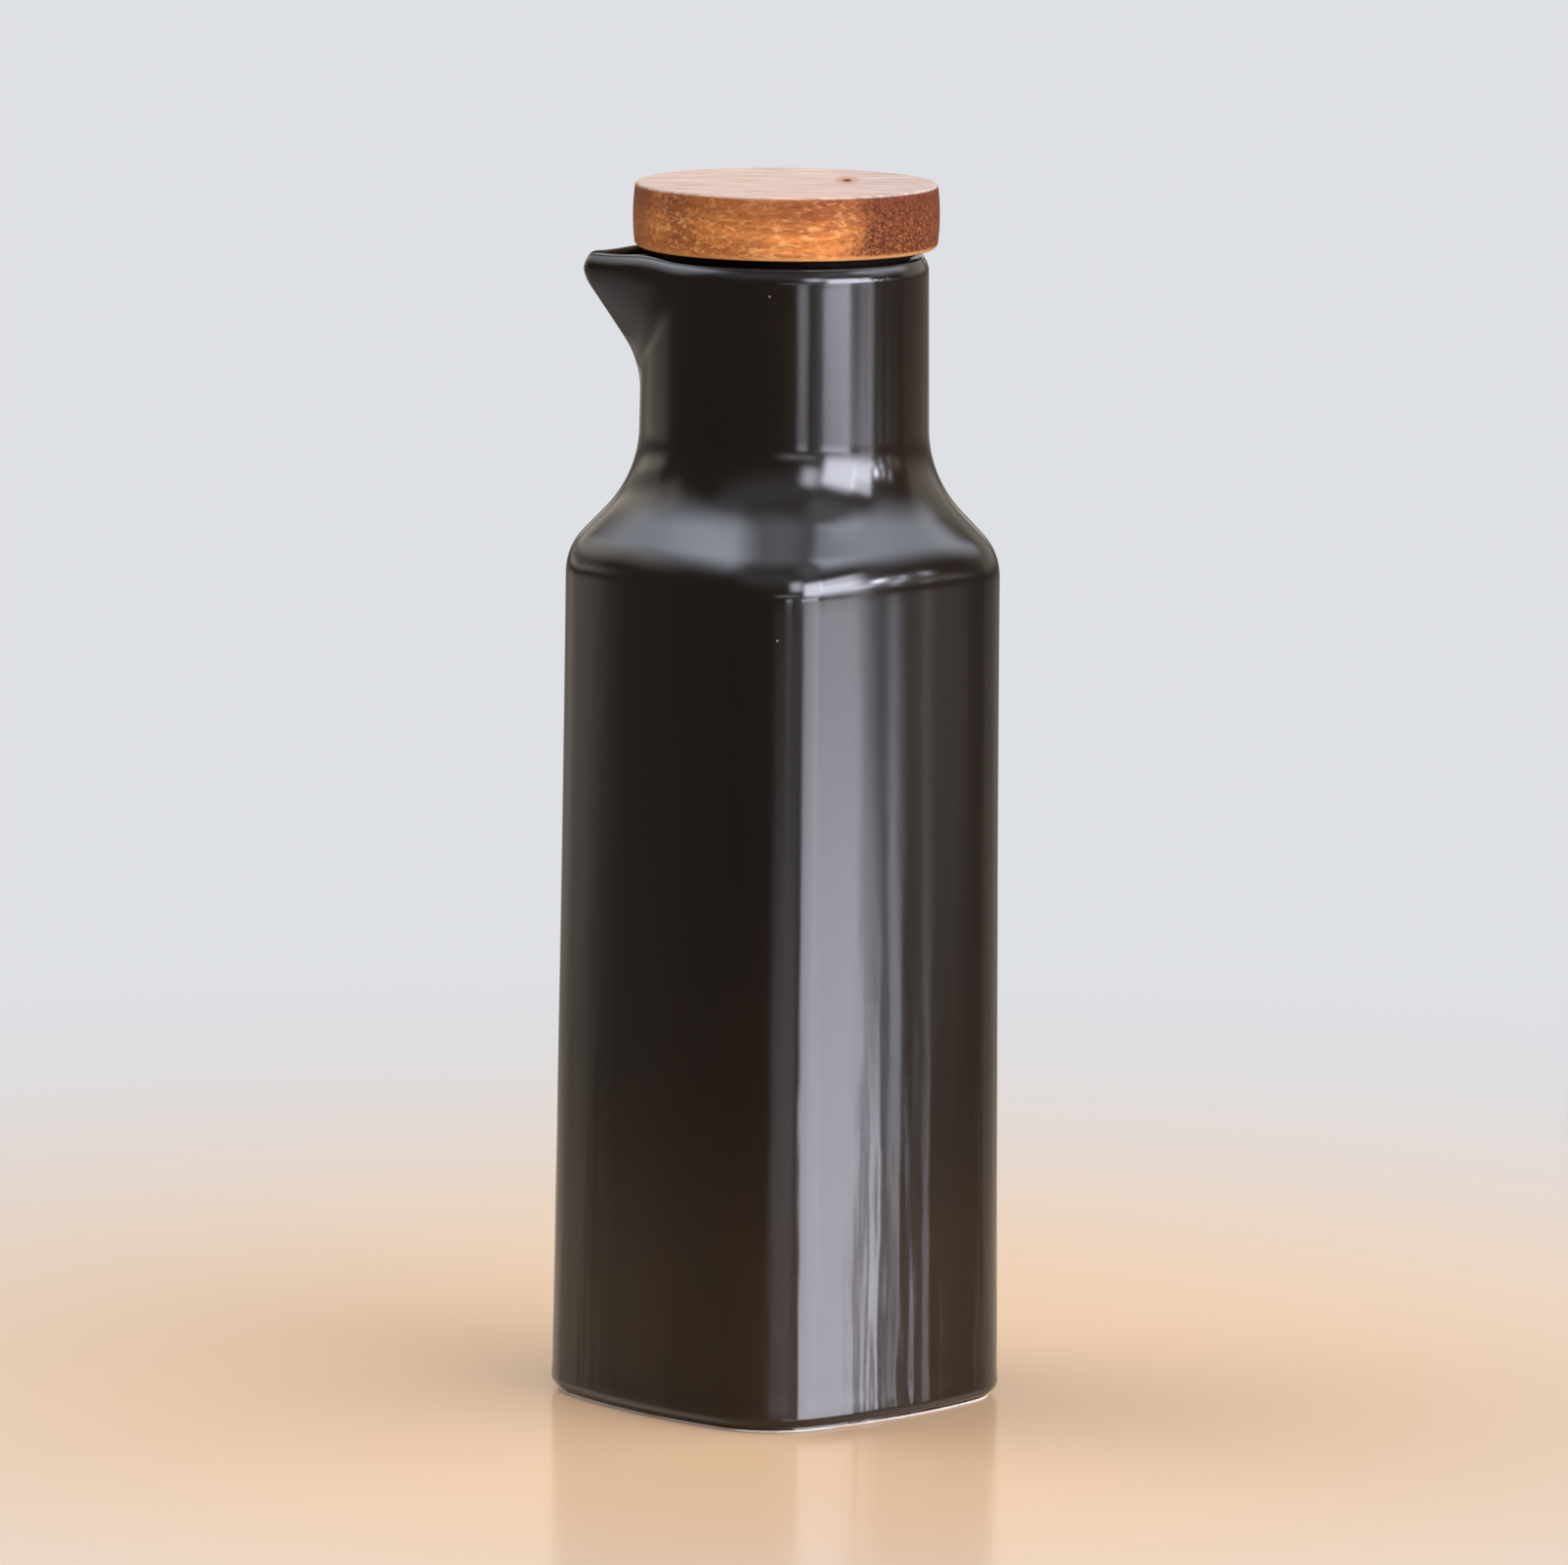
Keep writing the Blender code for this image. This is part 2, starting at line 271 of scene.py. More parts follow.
    def inside(self, angle: float, z: float) -> float:
        """Inside of the neck and the spout's channel: the wall thins towards the lip."""
        wall = self.wall + (self.lip - self.wall) * self.up_spout(z)
        core = self.neck_radius(z) - wall
        return self.drawn_out(angle, core, self.spout_reach(z) - wall, self.channel_tip)

    def up_spout(self, z: float) -> float:
        """Share of the way from the spout's root to its lip."""
        return clamp((z - self.spout_root_z) / (self.lip_base() - self.spout_root_z))

    def rim_lift(self, angle: float) -> float:
        """How far the rim stands above its level, with wings beside the spout and a dip at its tip.

        Args:
            angle: direction round the axis.

        Returns:
            The lift, below 0 in the dip.
        """
        away = self.from_spout(angle)
        if self.wing_from < away < self.wing_to:
            part = (away - self.wing_from) / (self.wing_to - self.wing_from)
            return self.wing * math.sin(math.pi * part) ** 2
        if away < self.wing_from:
            return -self.tip_dip * math.cos(QUARTER_TURN * away / self.wing_from) ** 2
        return 0.0

    def lifted(self, angle: float, z: float) -> float:
        """Height of a point on the spout: the rim's lift fades out down it."""
        return z + self.rim_lift(angle) * self.up_spout(z) ** 2


@dataclass
class Loft:
    """A closed skin that grows ring by ring from a capped disc."""

    angles: list[float]
    mesh: bmesh.types.BMesh = field(default_factory=bmesh.new)
    edges: list[bmesh.types.BMEdge] = field(default_factory=list)

    def start(self, radius_of: Around, z: float, skin: Skin) -> None:
        """Make the first disc, with its middle closed.

        Args:
            radius_of: distance from the axis for each direction.
            z: the disc's height.
            skin: what covers it.
        """
        self.around = self.mesh.verts.layers.int.new("around")
        made = bmesh.ops.create_circle(
            self.mesh, cap_ends=True, cap_tris=True, segments=len(self.angles), radius=1.0)
        rim = [vert for vert in made["verts"] if vert.is_boundary]
        rim.sort(key=lambda vert: math.atan2(vert.co.y, vert.co.x) % (2.0 * math.pi))
        for index, vert in enumerate(rim):
            vert[self.around] = index
        for vert in made["verts"]:
            vert.co.z = z
        for face in self.mesh.faces:
            face.material_index = skin.value
        self.edges = [edge for edge in self.mesh.edges if edge.is_boundary]
        self.place(rim, radius_of, z)

    def place(self, verts: list[bmesh.types.BMVert], radius_of: Around, height: Around | float) -> None:
        """Move a ring's points out to their section.

        Args:
            verts: the ring's points.
            radius_of: distance from the axis for each direction.
            height: height, the same all round or for each direction.
        """
        for vert in verts:
            angle = self.angles[vert[self.around]]
            radius = radius_of(angle)
            z = height(angle) if callable(height) else height
            vert.co = (radius * math.cos(angle), radius * math.sin(angle), z)

    def grow(self, radius_of: Around, height: Around | float, skin: Skin = Skin.GLAZE) -> None:
        """Extrude the open edge to a new ring.

        Args:
            radius_of: distance from the axis for each direction.
            height: height, the same all round or for each direction.
            skin: what covers the new band.
        """
        grown = bmesh.ops.extrude_edge_only(self.mesh, edges=self.edges)["geom"]
        verts = [item for item in grown if isinstance(item, bmesh.types.BMVert)]
        self.edges = [item for item in grown if isinstance(item, bmesh.types.BMEdge) and item.is_boundary]
        for edge in self.edges:
            for face in edge.link_faces:
                face.material_index = skin.value
        self.place(verts, radius_of, height)

    def close(self) -> None:
        """Close the last ring with a fan of faces round its middle."""
        made = bmesh.ops.edgeloop_fill(self.mesh, edges=self.edges, mat_nr=Skin.GLAZE.value)
        bmesh.ops.poke(self.mesh, faces=made["faces"])
        bmesh.ops.recalc_face_normals(self.mesh, faces=self.mesh.faces)


class Nodes:
    """A node tree, with short ways to add and join nodes."""

    def __init__(self, tree: bpy.types.NodeTree) -> None:
        """Take the tree to work in."""
        self.tree = tree

    def feed(self, socket: Socket, value: Value) -> None:
        """Join another node's output to a socket, or set its own value.

        Args:
            socket: the input that is fed.
            value: an output or a plain value.
        """
        if isinstance(value, Socket):
            self.tree.links.new(value, socket)
        else:
            socket.default_value = value

    def add(self, kind: str, inputs: dict[str | int, Value] | None = None,
            **settings: object) -> bpy.types.Node:
        """Add a node.

        Args:
            kind: the node's type.
            inputs: a value or a joined output for each named or numbered socket.
            settings: the node's own properties.

        Returns:
            The new node.
        """
        node = self.tree.nodes.new(kind)
        for name, setting in settings.items():
            setattr(node, name, setting)
        for key, value in (inputs or {}).items():
            self.feed(node.inputs[key], value)
        return node

    def math(self, operation: str, *values: Value) -> Socket:
        """Work out one number from others."""
        return self.add("ShaderNodeMath", dict(enumerate(values)), operation=operation).outputs[0]

    def vector(self, operation: str, *values: Value) -> Socket:
        """Work out a vector from others, or a length where the operation gives one."""
        node = self.add("ShaderNodeVectorMath", dict(enumerate(values)), operation=operation)
        return node.outputs["Value" if operation in ("DISTANCE", "LENGTH") else "Vector"]

    def ramp(self, value: Value, low: float, high: float, to_low: float = 0.0,
             to_high: float = 1.0) -> Socket:
        """Ease a value from one range to another.

        Args:
            value: what is mapped.
            low: value that gives to_low.
            high: value that gives to_high.
            to_low: result at and beyond low.
            to_high: result at and beyond high.

        Returns:
            The mapped value.
        """
        return self.add("ShaderNodeMapRange", {
            "Value": value, "From Min": low, "From Max": high, "To Min": to_low, "To Max": to_high},
            interpolation_type="SMOOTHSTEP").outputs[0]

    def mix(self, share: Value, first: Socket, second: Socket) -> Socket:
        """Mix two shaders: share 0 gives the first and 1 the second."""
        return self.add("ShaderNodeMixShader", {0: share, 1: first, 2: second}).outputs[0]


class Recipe(Nodes):
    """One material's nodes, whose patterns read Object coordinates."""

    def __init__(self, name: str) -> None:
        """Start a material.

        Args:
            name: the material's name.
        """
        self.material = bpy.data.materials.new(name)
        self.material.use_nodes = True
        super().__init__(self.material.node_tree)
        self.shader = self.tree.nodes["Principled BSDF"]
        self.place = self.add("ShaderNodeTexCoord").outputs["Object"]

    def stretch(self, scale: Point, turn: float = 0.0, shift: Point = (0.0, 0.0, 0.0)) -> Socket:
        """Object coordinates, turned about Z, shifted and then scaled.

        Args:
            scale: how many times finer the pattern gets along each turned axis.
            turn: angle about Z.
            shift: added after the turn.

        Returns:
            The new coordinates.
        """
        turned = self.add("ShaderNodeMapping", {
            "Vector": self.place, "Rotation": (0.0, 0.0, turn), "Location": shift}).outputs[0]
        return self.add("ShaderNodeMapping", {"Vector": turned, "Scale": scale}).outputs[0]

    def noise(self, place: Value, scale: float, detail: float = 2.0, roughness: float = 0.5,
              distortion: float = 0.0) -> Socket:
        """Cloudy noise between 0 and 1.

        Args:
            place: coordinates.
            scale: cells to a metre.
            detail: octaves.
            roughness: strength of the finer octaves.
            distortion: swirl.

        Returns:
            The noise.
        """
        return self.add("ShaderNodeTexNoise", {
            "Vector": place, "Scale": scale, "Detail": detail, "Roughness": roughness,
            "Distortion": distortion}).outputs[0]

    def spots(self, place: Value, scale: float, size: float, edge: float) -> Socket:
        """Scattered round spots: 1 inside a spot and 0 between them.

        Args:
            place: coordinates.
            scale: spots to a metre.
            size: radius of a spot as a share of the spacing.
            edge: width of its soft edge, in the same share.

        Returns:
            The mask.
        """
        distance = self.add("ShaderNodeTexVoronoi", {"Vector": place, "Scale": scale}).outputs["Distance"]
        return self.ramp(distance, size + edge, size)

    def near(self, point: Point, inner: float, outer: float) -> Socket:
        """1 within the inner distance of a point and 0 beyond the outer one."""
        return self.ramp(self.vector("DISTANCE", self.place, point), outer, inner)

    def blend(self, share: Value, first: Value, second: Value) -> Socket:
        """Mix two colours: share 0 gives the first and 1 the second."""
        first, second = ((*value, 1.0) if isinstance(value, tuple) else value for value in (first, second))
        return self.add("ShaderNodeMix", {0: share, 6: first, 7: second}, data_type="RGBA").outputs[2]

    def coats(self, colour: Socket, *coats: tuple[Value, Colour]) -> Socket:
        """Lay colours over one another.

        Args:
            colour: the lowest colour.
            coats: the share and colour of each coat over it, in order.

        Returns:
            The colour of all together.
        """
        for share, coat in coats:
            colour = self.blend(share, colour, coat)
        return colour

    def height(self) -> Socket:
        """Height over the table."""
        return self.add("ShaderNodeSeparateXYZ", {0: self.place}).outputs["Z"]

    def bump(self, relief: Value, depth: float, under: Value | None = None) -> Socket:
        """Shade a relief, on top of another one where given.

        Args:
            relief: height between 0 and 1.
            depth: what 1 stands for in metres.
            under: the relief below it.

        Returns:
            The bent normal.
        """
        node = self.add("ShaderNodeBump", {"Height": relief, "Distance": depth, "Strength": 1.0})
        if under is not None:
            self.feed(node.inputs["Normal"], under)
        return node.outputs[0]

    def complete(self, colour: Value, roughness: Value, normal: Value) -> bpy.types.Material:
        """Join the worked out surface to the shader.

        Args:
            colour: base colour.
            roughness: roughness.
            normal: bent normal.

        Returns:
            The finished material.
        """
        for name, value in (("Base Color", colour), ("Roughness", roughness), ("Normal", normal)):
            self.feed(self.shader.inputs[name], value)
        return self.material


@dataclass(frozen=True)
class SatinGlaze:
    """Black satin glaze, slightly brown where it runs thin over an edge."""

    black: Colour = (0.0034, 0.0022, 0.0016)
    warm: Colour = (0.0150, 0.0072, 0.0030)
    thin: Colour = (0.028, 0.018, 0.012)
    pit: Colour = (0.22, 0.14, 0.09)
    smoothest: float = 0.085
    roughest: float = 0.110
    softer_above: float = 0.028
    refraction: float = 1.5
    runs_top: float = 0.120
    runs_depth: float = 0.00010
    peel_depth: float = 0.0000045
    pit_depth: float = 0.00006
    pit_radius: float = 0.00022
    pits: tuple[Point, Point] = ((0.02805, -0.02739, 0.14313), (0.01675, -0.01956, 0.20292))

    def material(self, form: BottleForm) -> bpy.types.Material:
        """The glaze as a material.

        Args:
            form: the bottle, for the heights of its edges.

        Returns:
            The material.
        """
        recipe = Recipe("satin_black_glaze")
        z = recipe.height()
        clouds = recipe.noise(recipe.stretch((1.0, 1.0, 0.35)), 45.0, 3.0)
        # Warmer brown towards the bottom: a painted reflection of the warm floor, laid over a cloudy warm
        # tone that varies at random.
        floor_reflection_low = recipe.ramp(z, 0.11, 0.01, 0.25, 0.75)
        warmth_and_floor_reflection = recipe.math("MULTIPLY", floor_reflection_low, recipe.ramp(clouds, 0.3, 0.7, 0.5, 1.0))
        crest = recipe.ramp(z, form.rim_z - 0.0012, form.rim_z + 0.0002)
        base = recipe.ramp(z, form.foot_height + 0.0013, form.foot_height + 0.0002)
        edge = recipe.math("MAXIMUM", crest, recipe.math("MULTIPLY", base, 0.3))
        runs = recipe.noise(recipe.stretch((1.0, 1.0, 0.3)), 260.0, 2.0)
        thinness = recipe.math("MULTIPLY", edge, recipe.ramp(runs, 0.25, 0.75, 0.35, 0.9))
        pits = [recipe.near(place, self.pit_radius * 0.45, self.pit_radius * 1.3) for place in self.pits]
        colour = recipe.blend(warmth_and_floor_reflection, self.black, self.warm)
        colour = recipe.coats(colour, (thinness, self.thin), *((pit, self.pit) for pit in pits))
        peel = recipe.noise(recipe.place, 620.0, 2.0)
        matt = recipe.noise(recipe.place, 2600.0, 2.0)
        gloss = recipe.math("ADD", recipe.math("MULTIPLY", clouds, 0.6), recipe.math("MULTIPLY", matt, 0.4))
        rough = recipe.ramp(gloss, 0.3, 0.7, self.smoothest, self.roughest)
        rough = recipe.math("ADD", rough, recipe.ramp(z, 0.04, 0.15, 0.0, self.softer_above))
        dribbles = recipe.noise(recipe.stretch((1.0, 1.0, 0.035)), 300.0, 1.0)
        low = recipe.ramp(z, self.runs_top, 0.0)
        normal = recipe.bump(recipe.math("MULTIPLY", dribbles, low), self.runs_depth)
        normal = recipe.bump(peel, self.peel_depth, normal)
        hollow = recipe.math("MAXIMUM", *pits)
        normal = recipe.bump(recipe.math("SUBTRACT", 1.0, hollow), self.pit_depth, normal)
        recipe.shader.inputs["IOR"].default_value = self.refraction
        return recipe.complete(colour, rough, normal)


@dataclass(frozen=True)
class BareClay:
    """Pale fired clay where the glaze stops."""

    pale: Colour = (0.56, 0.50, 0.44)
    buff: Colour = (0.38, 0.29, 0.21)
    grit: Colour = (0.20, 0.12, 0.08)
    grain_depth: float = 0.00004

    def material(self) -> bpy.types.Material:
        """The clay as a material.

        Returns:
            The material.
        """
        recipe = Recipe("bare_clay")
        stain = recipe.ramp(recipe.noise(recipe.place, 120.0, 3.0), 0.42, 0.72)
        specks = recipe.math("MULTIPLY", recipe.spots(recipe.place, 900.0, 0.12, 0.1), 0.6)
        colour = recipe.coats(recipe.blend(stain, self.pale, self.buff), (specks, self.grit))
        grain = recipe.noise(recipe.place, 2400.0, 3.0, 0.6)
        rough = recipe.ramp(grain, 0.3, 0.7, 0.78, 0.92)
        return recipe.complete(colour, rough, recipe.bump(grain, self.grain_depth))


@dataclass(frozen=True)
class OiledWood:
    """Reddish brown hardwood, cut from a flat board so that its rings lie along the lid."""

    dark: Colour = (0.108, 0.024, 0.008)
    red: Colour = (0.33, 0.100, 0.030)
    gold: Colour = (0.63, 0.213, 0.052)
    # Pale orange of the flecks in the grain, also used for the painted highlight on the lower edge.
    fleck_and_edge_highlight: Colour = (0.86, 0.43, 0.15)
    pore: Colour = (0.034, 0.009, 0.004)
    # Pale colour of the painted sheen on the lid's top.
    painted_top_sheen: Colour = (0.52, 0.405, 0.33)
    # Near black: the painted shade of the gap between the lid and the rim.
    painted_gap_shade: Colour = (0.0015, 0.0006, 0.0003)
    heart: float = 0.90
    heart_from: float = 0.0085
    heart_to: float = 0.0175
    heart_sway: float = 0.012
    shine: float = 0.12
    grain: float = math.radians(46.8)
    grain_depth: float = 0.00003
    pith: Point = (0.0, 0.012, -0.172)
    ring: float = 0.0021
    ring_sway: float = 0.0045
    # Span along the grain over which one end of the lid grows darker.
    end_darkening: tuple[float, float] = (-0.0215, -0.0262)
    knot_shift: Point = (-0.01084, -0.00508, -0.2207)
    knot_rim: tuple[float, float] = (0.0030, 0.0009)
    knot_eye: tuple[float, float] = (0.0011, 0.0004)

    def streaked(self, recipe: Recipe, along: float, scale: float, detail: float = 3.0,
                 roughness: float = 0.6, distortion: float = 0.0) -> Socket:
        """Noise drawn out along the grain."""
        place = recipe.stretch((along, 1.0, 1.0), -self.grain)
        return recipe.noise(place, scale, detail, roughness, distortion)

    def rings(self, recipe: Recipe) -> Socket:
        """Growth rings round a pith that lies under the lid.

        Args:
            recipe: the wood's nodes.

        Returns:
            0 in early wood and 1 in late wood.
        """
        board = recipe.stretch((0.06, 1.0, 1.0), -self.grain, self.pith)
        sway = recipe.add("ShaderNodeTexNoise", {"Vector": board, "Scale": 95.0, "Detail": 3.0}).outputs[1]
        sway = recipe.vector("SUBTRACT", sway, (0.5, 0.5, 0.5))
        bent = recipe.vector("MULTIPLY_ADD", sway, (self.ring_sway,) * 3, board)
        distance = recipe.vector("LENGTH", recipe.vector("MULTIPLY", bent, (0.0, 1.0, 1.0)))
        turns = recipe.math("FRACT", recipe.math("DIVIDE", distance, self.ring))
        return recipe.math("MULTIPLY", recipe.ramp(turns, 0.0, 0.82), recipe.ramp(turns, 1.0, 0.9))

    def material(self, top_z: float, lower_z: float) -> bpy.types.Material:
        """The wood as a material.

        Args:
            top_z: height of the lid's top.
            lower_z: height of the disc's underside, below which the step and plug are painted near black as
                shade in the gap over the rim.

        Returns:
            The material.
        """
        recipe = Recipe("oiled_wood")
        z = recipe.height()
        patches = self.streaked(recipe, 0.35, 120.0, roughness=0.55)
        streaks = self.streaked(recipe, 0.10, 820.0, 4.0)
        curl = self.streaked(recipe, 0.30, 1150.0, distortion=0.5)
        speckle = self.streaked(recipe, 0.30, 1900.0)
        turned = recipe.stretch((1.0, 1.0, 1.0), -self.grain)
        along = recipe.add("ShaderNodeSeparateXYZ", {0: turned}).outputs["X"]
        swayed = recipe.math("MULTIPLY_ADD", patches, self.heart_sway, along)
        middle = self.heart_sway / 2.0
        heartwood = recipe.ramp(swayed, self.heart_from + middle, self.heart_to + middle, 0.0, self.heart)
        late = recipe.math("MULTIPLY", self.rings(recipe), recipe.ramp(streaks, 0.3, 0.7, 0.12, 0.42))
        light = recipe.math("MULTIPLY", heartwood, recipe.ramp(speckle, 0.54, 0.66, 0.0, 0.25))
        deep = recipe.math("MULTIPLY", heartwood, recipe.ramp(speckle, 0.54, 0.40, 0.0, 0.85))
        uneven = recipe.math("MULTIPLY_ADD", patches, 0.004, z)
        pores = recipe.spots(recipe.stretch((0.20, 1.0, 1.0), -self.grain), 2100.0, 0.22, 0.26)
        pores = recipe.math("MULTIPLY", pores, recipe.ramp(heartwood, 0.0, self.heart, 0.25, 0.45))
        # Painted sheen: the top face and its chamfer are painted pale, streaked along the grain, for the
        # glancing reflection on them.
        top = recipe.ramp(z, top_z - 0.0005, top_z - 0.0001)
        pale = recipe.math("MULTIPLY", top, recipe.ramp(streaks, 0.30, 0.66, 0.45, 0.97))
        knot = recipe.vector("LENGTH", recipe.stretch((1.0, 0.30, 1.0), -self.grain, self.knot_shift))
        colour = recipe.coats(
            recipe.blend(recipe.ramp(patches, 0.30, 0.60), self.red, self.gold),
            (late, self.dark),
            (recipe.ramp(curl, 0.48, 0.66, 0.0, 0.55), self.fleck_and_edge_highlight),
            (recipe.ramp(streaks, 0.45, 0.28, 0.0, 0.5), self.dark),
            (heartwood, self.dark),
            (light, self.gold),
            (deep, self.pore),
            # Darker towards the lid's end at negative along-grain.
            (recipe.ramp(along, *self.end_darkening, 0.0, 0.6), self.dark),
            (recipe.ramp(uneven, top_z - 0.0045, top_z + 0.0005, 0.0, 0.5), self.dark),
            (pores, self.pore),
            # Painted highlight: a pale line along the lower rounded edge, for the light it catches from the
            # floor.
            (recipe.ramp(z, lower_z + 0.0011, lower_z + 0.0004, 0.0, 0.55), self.fleck_and_edge_highlight),
            (pale, self.painted_top_sheen),
            (recipe.math("MULTIPLY", recipe.ramp(knot, *self.knot_rim), 0.5), self.red),
            (recipe.ramp(knot, *self.knot_eye), self.dark),
            # Painted shade: everything below the disc's underside is painted near black, for the deep
            # shadow in the gap over the rim.
            (recipe.ramp(z, lower_z + 0.0002, lower_z + 0.00005), self.painted_gap_shade))
        rough = recipe.ramp(streaks, 0.3, 0.7, 0.68, 0.84)
        relief = recipe.math("SUBTRACT", recipe.math("MULTIPLY", streaks, 0.4), pores)
        recipe.shader.inputs["Specular IOR Level"].default_value = self.shine
        return recipe.complete(colour, rough, recipe.bump(relief, self.grain_depth))


@dataclass(frozen=True)
class PaleFloor:
    """Plain pale floor that fades into haze behind.

    It is smooth enough for the object to pick up the lights from it at a low angle. The camera sees
    it duller, in the colours seen_near and seen_far.
    """

    near: Colour = (0.56, 0.36, 0.19)
    far: Colour = (0.10, 0.075, 0.055)
    near_reach: float = 0.10
    far_reach: float = 0.45
    roughness: float = 0.15
    polish: float = 1.0
    seen_near: Colour = (0.51, 0.33, 0.19)
    seen_far: Colour = (0.52, 0.42, 0.33)
    seen_from: float = 0.04
    seen_to: float = 0.40
    dulled: float = 0.65
    haze_start: float = 0.06
    haze_full: float = 0.50

    def material(self) -> bpy.types.Material:
        """The floor as a material.

        Returns:
            The material.
        """
        recipe = Recipe("pale_floor")
        distance = recipe.vector("LENGTH", recipe.place)
        colour = recipe.blend(recipe.ramp(distance, self.near_reach, self.far_reach), self.near, self.far)
        recipe.feed(recipe.shader.inputs["Base Color"], colour)
        recipe.shader.inputs["Roughness"].default_value = self.roughness
        recipe.shader.inputs["Coat Weight"].default_value = self.polish
        recipe.shader.inputs["Coat Roughness"].default_value = self.roughness
        paling = recipe.ramp(distance, self.seen_from, self.seen_to)
        matt = recipe.add("ShaderNodeBsdfDiffuse", {
            "Color": recipe.blend(paling, self.seen_near, self.seen_far)}).outputs[0]
        haze = recipe.add("ShaderNodeEmission", {"Color": (*HAZE, 1.0)}).outputs[0]
        seen = recipe.add("ShaderNodeLightPath").outputs["Is Camera Ray"]
        floor = recipe.mix(recipe.math("MULTIPLY", seen, self.dulled), recipe.shader.outputs[0], matt)
        share = recipe.math("MULTIPLY", seen, recipe.ramp(distance, self.haze_start, self.haze_full))
        hazy = recipe.mix(share, floor, haze)
        recipe.feed(recipe.tree.nodes["Material Output"].inputs["Surface"], hazy)
        return recipe.material


@dataclass(frozen=True)
class GlazeRuns:
    """Shallow upright waves in the fired glaze, strongest near the base."""

    depth: float = 0.00018
    around: float = 0.0055
    along: float = 0.034
    seed: float = 3.7
    faint: float = 0.08
    reach: float = 0.12
    fading: float = 1.5
    contrast: float = 0.4
    dimension: float = 0.8
    octaves: int = 3

    def set_in(self, angle: float, radius: float, z: float) -> float:
        """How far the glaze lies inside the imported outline.

        Args:
            angle: direction round the axis.
            radius: the outline's distance from the axis.
            z: height.

        Returns:
            A distance of at least 0.
        """
        across = radius / self.around
        place = Vector((across * math.cos(angle), across * math.sin(angle), z / self.along + self.seed))
        wave = noise.fractal(place, self.dimension, 2.0, self.octaves)
        strength = self.faint + (1.0 - self.faint) * clamp(1.0 - z / self.reach) ** self.fading
        return self.depth * strength * clamp(0.5 + self.contrast * wave)


